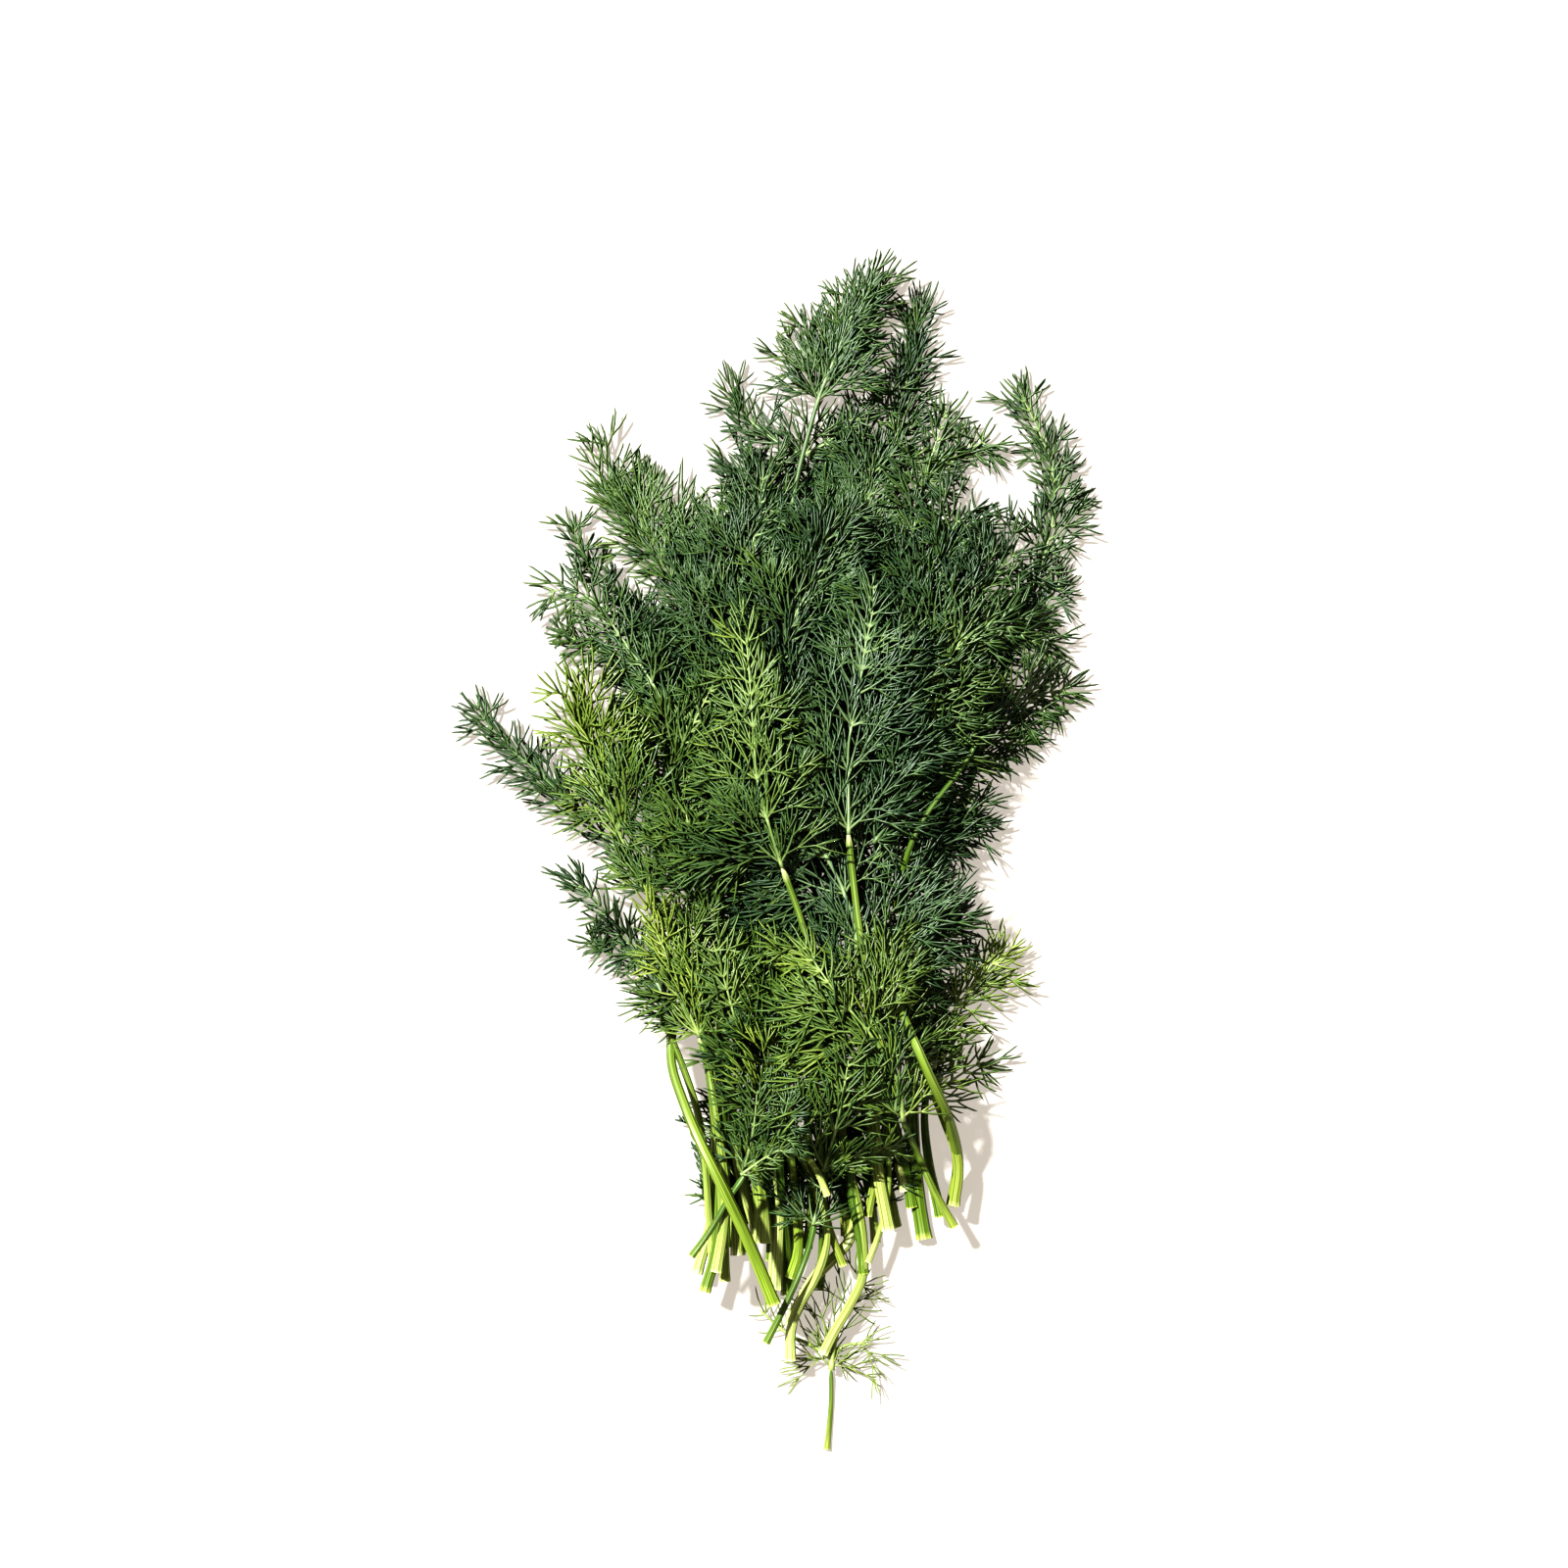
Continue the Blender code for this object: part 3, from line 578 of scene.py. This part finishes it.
SPACED = {"gap": 1.08, "bold": 1.1}     # shoots a little apart, so that the table shows between them
COARSE = {"gap": 1.14, "bold": 1.12}    # as on the leaves on top, whose threads show one by one


def grow(number, slot, *plumes):
    """The leaves of one sprig.  Each plume gives its CAD frond, half-width in mm, hue, route in mm and,
    where it needs them, plume's other settings."""
    rng = np.random.default_rng(number)
    shapes, replaced = [], []
    for cad_node, half_width, hue, route, *more in plumes:
        shapes += plume(rng, Bed(cad_node), route, half_width, hue, **(more[0] if more else {}))
        if cad_node not in replaced:
            replaced.append(cad_node)
    leaves = mesh_of(f"dill_leaves_{number:02d}", shapes)
    leaves.data.materials.append(leaf)
    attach(leaves, "root")
    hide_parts(*replaced)


# ---------------------------------------------------------------------------------------------
# The heart of the bunch and its crown: large old leaves, dark and slightly blue, pressed together.
# ---------------------------------------------------------------------------------------------
grow(3, "deep_frond",
     ("frond_03", 17, 0.16, ((14, -3), (16, 36), (16, 64), (21, 77), (25, 98)),
      {"rib": 0.9, "end": 0.6, "crest": 7.0, "loft": 6.0, "stem": 1.3}),
     ("frond_03", 10, 0.12, ((24, 92), (29, 104), (33, 118), (36, 136)),
      {"end": 0.7, "angle": 34, "rib": 0.6, "gap": 0.92}),
     ("frond_03", 12, 0.12, ((17, 66), (12, 80), (9, 96)), {"rib": 0.4, "end": 0.5}),
     ("frond_03", 10, 0.18, ((22, 88), (20, 100), (22, 112)), {"rib": 0.4, "end": 0.5}))
grow(4, "deep_frond",
     ("frond_04", 19, 0.14, ((4, 7), (4, 41), (4, 78)), {"rib": 0.5, "end": 0.7}),
     ("frond_04", 13, 0.12, ((2, 68), (3, 77), (5, 89), (7, 98), (11, 112), (15, 122), (19, 132), (25, 143)),
      {"bare": 0.56, "stem": 1.7, "end": 0.65, "crest": 8.0, "loft": 6.5, "tip_hue": 0.2, "angle": 38,
       "rib": 0.6, "bold": 1.05, "left": 0.8}),
     ("frond_04", 10, 0.16, ((7, 98), (0, 102), (-6, 107), (-11, 113)),
      {"end": 0.5, "angle": 42, "rib": 0.7}),
     ("frond_04", 10, 0.18, ((7, 98), (14, 102), (20, 108)), {"end": 0.5}),
     ("frond_04", 11, 0.2, ((11, 112), (8, 121), (9, 131)), {"end": 0.6, "angle": 40}),
     ("frond_04", 8, 0.24, ((15, 120), (20, 127), (26, 139)), {"end": 0.6, "angle": 36, "rib": 0.5}),
     ("frond_04", 12, 0.14, ((5, 82), (-3, 89), (-9, 97)), {"end": 0.5, "rib": 0.6}),
     ("frond_04", 10, 0.12, ((5, 82), (12, 88), (17, 94)), {"end": 0.5, "rib": 0.6}))
grow(7, "deep_frond",
     ("frond_07", 17, 0.12, ((-13, 12), (-11, 54), (-8, 66), (-5, 77), (-3, 88), (-3, 97)),
      {"rib": 0.8, "end": 0.5, "crest": 3.0}),
     ("frond_07", 12, 0.1, ((-12, 20), (-20, 34), (-26, 46)), {"rib": 0.5, "end": 0.5}))
grow(10, "deep_frond",
     ("frond_10", 18, 0.12, ((12, -22), (8, 5), (2, 33), (2, 47), (5, 58), (10, 68), (15, 84)),
      {"rib": 0.7, "end": 0.5}),
     ("frond_10", 13, 0.1, ((12, -20), (-2, -8), (-10, 6)), {"rib": 0.5, "end": 0.6}))
grow(6, "deep_frond",
     ("frond_06_top", 10, 0.18, ((31, 55), (34, 78), (37, 92), (40, 102), (43, 112)),
      {"end": 0.5, "angle": 42, **SPACED}),
     ("frond_06_top", 7, 0.2, ((37, 92), (45, 98), (52, 102)), {"end": 0.5, **SPACED}),
     ("frond_06", 18, 0.12, ((24, 19), (26, 42), (34, 58), (38, 68), (43, 78), (47, 86)),
      {"rib": 0.7, "end": 0.5}),
     ("frond_06", 9, 0.16, ((38, 64), (45, 76), (51, 86)), {"rib": 0.5, "end": 0.4, **SPACED}),
     ("frond_06_side", 15, 0.12, ((32, 52), (42, 59), (50, 65), (60, 75)), {"rib": 0.6, "end": 0.5}),
     ("frond_06", 14, 0.1, ((24, 20), (38, 34), (52, 44)), {"rib": 0.4, "end": 0.6}))
grow(13, "deep_frond",
     ("frond_13", 17, 0.08, ((19, -35), (20, -20), (17, -9), (13, -1), (8, 8), (5, 18), (4, 30), (6, 43)),
      {"rib": 0.9, "end": 0.5, "crest": 4.0, "stem": 1.2, **COARSE}),
     ("frond_13", 14, 0.05, ((19, -34), (8, -26), (-2, -16), (-8, -4)), {"rib": 0.4, "end": 0.6}))
grow(14, "deep_frond",
     ("frond_14", 18, 0.1, ((18, 5), (18, 17), (18, 27), (20, 37), (22, 50), (24, 60), (24, 69)),
      {"loft": 4.0, "crest": 5.0, "stem": 0.85, "rib": 0.85, **COARSE}),
     ("frond_14", 11, 0.16, ((24, 3), (29, 10), (33, 20), (37, 31)), {"rib": 0.4, "end": 0.6}),
     ("frond_14", 13, 0.1, ((27, 30), (31, 42), (34, 55)), {"rib": 0.5, "end": 0.6}))

# ---------------------------------------------------------------------------------------------
# Right-hand leaves: they hang out over the table, so their side ribs stand apart.
# ---------------------------------------------------------------------------------------------
grow(1, "deep_frond",
     ("frond_01", 8, 0.15, ((59, 54), (63, 64), (67, 75), (69, 86), (68, 97), (64, 107), (60, 115)),
      {"end": 0.7, "gap": 0.95, "bold": 1.05, "angle": 42}),
     ("frond_01", 7, 0.15, ((60, 54), (66, 60), (70, 66)),
      {"end": 0.5, "rib": 0.6, "gap": 0.95, "bold": 1.05}))
grow(9, "deep_frond",
     ("frond_09_side", 14, 0.18, ((33, 40), (41, 50), (48, 54), (57, 57), (64, 54), (69, 48)),
      {"end": 0.4, **SPACED}),
     ("frond_09", 13, 0.26, ((47, 26), (55, 35), (64, 39), (74, 41)),
      {"end": 0.4, "tip_hue": 0.2, **SPACED}),
     ("frond_09_low", 15, 0.1, ((22, 4), (32, 10), (42, 11), (51, 11)), {"rib": 0.5, "end": 0.4}),
     ("frond_09_low", 11, 0.08, ((33, 0), (41, 3), (49, 8)), {"rib": 0.4, "end": 0.5}),
     ("frond_09", 14, 0.14, ((46, 22), (52, 28), (60, 31)), {"rib": 0.4, "end": 0.6}))
grow(12, "deep_frond",
     ("frond_12_low", 12, 0.16, ((22, -36), (33, -23), (40, -16), (45, -9)), {"rib": 0.5, "end": 0.5}),
     ("frond_12_low", 4, 0.04, ((34, -26), (41, -20), (49, -10)),
      {"rib": 0.3, "gap": 1.5, "bold": 1.7, "angle": 24}),
     ("frond_12", 16, 0.12, ((27, -25), (27, 0), (28, 14), (31, 26)), {"rib": 0.6, "end": 0.6}),
     ("frond_12", 14, 0.32, ((31, 26), (36, 35), (41, 45), (47, 55)), {"end": 0.6, "gap": 1.05}),
     ("frond_12", 13, 0.2, ((31, 10), (38, 20), (44, 28)), {"end": 0.6, "rib": 0.4}))
grow(15, "mid_frond",
     ("frond_15_side", 9, 0.35, ((38, -60), (43, -56), (48, -53), (52, -51)), {"gap": 1.3, "end": 0.5}),
     ("frond_15", 12, 0.42, ((39, -52), (41, -44), (45, -37), (51, -30), (57, -23)),
      {"tip_hue": 0.7, "end": 0.6, "angle": 42, "crest": 6.0, "loft": 7.0, **SPACED}),
     ("frond_15", 10, 0.2, ((40, -52), (39, -42), (42, -32)), {"end": 0.6, "rib": 0.5}))

# ---------------------------------------------------------------------------------------------
# Left-hand leaves: the flat, open plumes at the shoulder and the two dark points under them.
# ---------------------------------------------------------------------------------------------
grow(2, "deep_frond",
     ("frond_02", 8, 0.1, ((-35, -2), (-44, 6), (-50, 12), (-58, 20), (-64, 25), (-70, 31), (-75, 39)),
      {"end": 0.5, "rib": 0.6, "angle": 36, **SPACED}))
grow(5, "mid_frond",
     ("frond_05_low", 3, 0.14, ((-16.5, -86), (-17.5, -80), (-19, -73), (-20, -66)),
      {"rib": 0.3, "gap": 0.9, "bold": 1.05, "angle": 32, "end": 0.5}),
     ("frond_05_side", 6, 0.14, ((-24, 41), (-32, 56), (-41, 67), (-46, 72), (-49, 78), (-49, 84)),
      {"end": 0.6, "rib": 0.6, "angle": 36, **SPACED}),
     ("frond_05", 16, 0.2, ((-19, 16), (-20, 52), (-25, 67), (-30, 74), (-35, 80), (-40, 87), (-44, 93)),
      {"tip_hue": 0.27, "end": 0.55, "right": 1.25, "left": 0.65, "crest": 3.0, "angle": 46, "rib": 0.8,
       **SPACED}),
     ("frond_05", 11, 0.2, ((-25, 67), (-23, 76), (-24, 86)), {"end": 0.5, "tip_hue": 0.25, **SPACED}),
     ("frond_05", 12, 0.16, ((-20, 40), (-27, 52), (-34, 60)), {"end": 0.5, "rib": 0.5, **SPACED}),
     ("frond_05_top", 15, 0.2, ((-17, 36), (-16, 56), (-15, 68), (-14, 78), (-14, 86)), {"end": 0.5}))
grow(8, "deep_frond",
     ("frond_08", 10, 0.18, ((-23, 30), (-31, 44), (-38, 54), (-44, 62), (-51, 65), (-57, 64)),
      {"end": 0.5, "crest": 3.0, "rib": 0.8, **SPACED}),
     ("frond_08", 6, 0.2, ((-32, 43), (-44, 50), (-55, 56)), {"end": 0.6, "angle": 42, **SPACED}),
     ("frond_08", 9, 0.12, ((-24, 28), (-30, 34), (-36, 38)), {"end": 0.5, "rib": 0.5, **SPACED}))

# ---------------------------------------------------------------------------------------------
# Young leaves: yellow-green, softer and more open than the rest.
# ---------------------------------------------------------------------------------------------
grow(11, "bright_frond",
     ("frond_11_side", 14, 0.36, ((-28, -9), (-29, 10), (-24, 23), (-18, 35), (-14, 43)), {"end": 0.5}),
     ("frond_11", 16, 0.42, ((-30, -11), (-37, 3), (-42, 15), (-46, 26), (-48, 36)),
      {"tip_hue": 0.62, "gap": 1.4, "bold": 1.25, "end": 0.75, "angle": 30, "left": 0.75, "rib": 0.7}),
     ("frond_11", 11, 0.45, ((-38, 6), (-36, 18), (-35, 28)),
      {"end": 0.6, "tip_hue": 0.55, "rib": 0.6, "gap": 1.25, "bold": 1.2, "angle": 40}),
     ("frond_11", 12, 0.3, ((-30, -10), (-27, 4), (-26, 18)), {"end": 0.6, "rib": 0.4}))
grow(16, "bright_frond",
     ("frond_16_side", 16, 0.36, ((-10, -40), (-15, -22), (-18, -8), (-20, 3), (-22, 14)), {"end": 0.5}),
     ("frond_16", 12, 0.6, ((-18, -44), (-21, -37), (-24, -28), (-28, -20), (-32, -11)),
      {"tip_hue": 0.75, "end": 0.5, "angle": 36, "left": 0.7, "rib": 0.7, "gap": 1.12, "bold": 1.12}),
     ("frond_16", 10, 0.5, ((-18, -44), (-17, -34), (-19, -24), (-21, -14)), {"end": 0.5, "rib": 0.5}))
grow(17, "bright_frond",
     ("frond_17", 15, 0.34, ((2, -3), (-2, 10), (-4, 18), (-5, 30), (-6, 44), (-7, 55)),
      {"tip_hue": 0.5, "loft": 4.0, "crest": 4.5, "angle": 44, "end": 0.35, "stem": 0.85, "rib": 0.8,
       **COARSE}),
     ("frond_17", 14, 0.3, ((0, 2), (-9, 12), (-14, 26)), {"rib": 0.4, "end": 0.5}))

# ---------------------------------------------------------------------------------------------
# Short leaves low on the bunch, over the stalks.
# ---------------------------------------------------------------------------------------------
grow(18, "mid_frond",
     ("frond_18_side", 15, 0.45, ((29, -60), (25, -46), (24, -37), (26, -27), (29, -18)), {"end": 0.5}),
     ("frond_18", 17, 0.5, ((31, -64), (30, -55), (24, -44), (15, -33), (6, -20)),
      {"right": 0.6, "end": 0.5, "rib": 0.7, **COARSE}),
     ("frond_18", 11, 0.3, ((29, -62), (30, -52), (28, -42)),
      {"end": 0.5, "rib": 0.5, "gap": 1.1, "bold": 1.1}))
grow(19, "mid_frond",
     ("frond_19", 16, 0.42, ((0, -62), (-6, -50), (-9, -41), (-12, -30), (-15, -20)),
      {"end": 0.5, "left": 0.75, "rib": 0.8, **COARSE}),
     ("frond_19_side", 16, 0.6, ((0, -62), (4, -55), (9, -47), (15, -38)),
      {"end": 0.6, "angle": 40, **COARSE}),
     ("frond_19", 8, 0.2, ((-7, -70), (-8, -60), (-10, -48)), {"end": 0.5, "rib": 0.5, "left": 0.8}),
     ("frond_19", 9, 0.25, ((-2, -60), (-4, -50), (-5, -40)), {"end": 0.6, "rib": 0.4}),
     ("frond_19", 14, 0.3, ((2, -56), (2, -44), (1, -32)), {"end": 0.6, "rib": 0.5}))
grow(20, "mid_frond",
     ("frond_20", 8, 0.14, ((-25, -41), (-28, -33), (-33, -25), (-38, -19), (-43, -12), (-49, -6)),
      {"end": 0.5, "rib": 0.7, "angle": 42, **SPACED}),
     ("frond_20", 6, 0.14, ((-33, -25), (-40, -25), (-46, -21)), {"end": 0.5, "rib": 0.5, **SPACED}))
grow(21, "mid_frond",
     ("frond_21", 10, 0.2, ((9.5, -90), (11, -84), (12, -77)),
      {"end": 0.6, "angle": 62, "rib": 0.8, "gap": 1.5}),
     ("frond_21", 14, 0.38, ((12, -77), (14, -70), (16, -60), (18, -48)),
      {"end": 0.5, "rib": 0.8, **COARSE}),
     ("frond_21", 5, 0.45, ((12, -77), (21, -74), (29, -69)), {"end": 0.5, "rib": 0.7, **COARSE}))
grow(22, "mid_frond",
     ("frond_22", 5, 0.3, ((-8, -77), (-1, -72), (6, -69)), {"end": 0.6, "rib": 0.8, "gap": 1.3}),
     ("frond_22", 7, 0.3, ((-7, -75), (-5, -66), (-4, -56)), {"end": 0.5, "rib": 0.6, "gap": 0.95}),
     ("frond_22", 7, 0.2, ((-1, -72), (2, -64), (4, -56)), {"end": 0.5, "rib": 0.4}),
     # leaves lying low under the stalks, their ribs darkened to rib 0.2 as painted shade
     ("frond_22", 11, 0.08, ((2, -92), (2, -80), (1, -66)), {"rib": 0.2, "end": 0.7, "level": 3}),
     ("frond_22", 10, 0.08, ((-8, -88), (-10, -76), (-12, -60)), {"rib": 0.2, "end": 0.7, "level": 3}),
     ("frond_22", 10, 0.1, ((13, -90), (13, -80), (14, -64)), {"rib": 0.2, "end": 0.7, "level": 3}),
     ("frond_22", 10, 0.08, ((24, -88), (24, -76), (23, -60)), {"rib": 0.2, "end": 0.7, "level": 2.5}))
grow(23, "mid_frond",
     ("frond_23", 11, 0.6, ((14, -127), (15, -120), (18, -111), (24, -102)),
      {"gap": 2.2, "stem": 1.5, "bold": 1.1, "thin": 0.6, "crest": 3.0}),
     ("frond_23", 11, 0.6, ((14, -124), (9, -121), (3, -118), (-4, -112)),
      {"gap": 2.0, "left": 0.7, "stem": 1.3, "bold": 1.1, "thin": 0.6, "crest": 2.5}),
     ("frond_23", 8, 0.6, ((14, -124), (18, -121), (25, -121)),
      {"gap": 1.8, "stem": 1.3, "bold": 1.1, "thin": 0.6}))

# ---------------------------------------------------------------------------------------------
# The table, the light and the camera, straight above.  The table is a plain sheet of opal acrylic,
# matt and faintly lit from below, so it is an even white and shadows on it are soft and beige.
# ---------------------------------------------------------------------------------------------
bpy.ops.mesh.primitive_plane_add(size=6)
table = bpy.context.object
table.name = "table"
opal = bpy.data.materials.new("opal acrylic")
opal.use_nodes = True
shader = opal.node_tree.nodes["Principled BSDF"]
shader.inputs["Base Color"].default_value = linear("#706E6C")
shader.inputs["Roughness"].default_value = 0.9
shader.inputs["Emission Color"].default_value = linear("#FFF7EC")
shader.inputs["Emission Strength"].default_value = 0.36
table.data.materials.append(opal)

LIGHT_WAY = Vector((0.50, -0.50, -1.0))    # from the upper left, down to the lower right
bpy.ops.object.light_add(type="SUN")
lamp = bpy.context.object
lamp.data.energy = 8.0
lamp.data.angle = radians(3)
lamp.rotation_euler = LIGHT_WAY.to_track_quat("-Z", "Y").to_euler()
world = bpy.data.worlds.new("studio")
bpy.context.scene.world = world
world.use_nodes = True
sky = world.node_tree.nodes["Background"]
sky.inputs["Color"].default_value = (1.0, 0.93, 0.85, 1)
sky.inputs["Strength"].default_value = 0.42
bpy.context.scene.view_settings.view_transform = "Standard"
bpy.context.scene.view_settings.look = "Very High Contrast"

VIEW_WIDTH = 0.384       # metres of table that the camera sees across
LENS, SENSOR = 100, 36   # mm
HEAP_MIDDLE = 0.01       # the height at which that width is true
bpy.ops.object.camera_add(location=(2.4 * MM, 17.3 * MM, VIEW_WIDTH * LENS / SENSOR + HEAP_MIDDLE),
                          rotation=(0, 0, 0))
camera = bpy.context.object
camera.data.lens = LENS
camera.data.sensor_width = SENSOR
bpy.context.scene.camera = camera
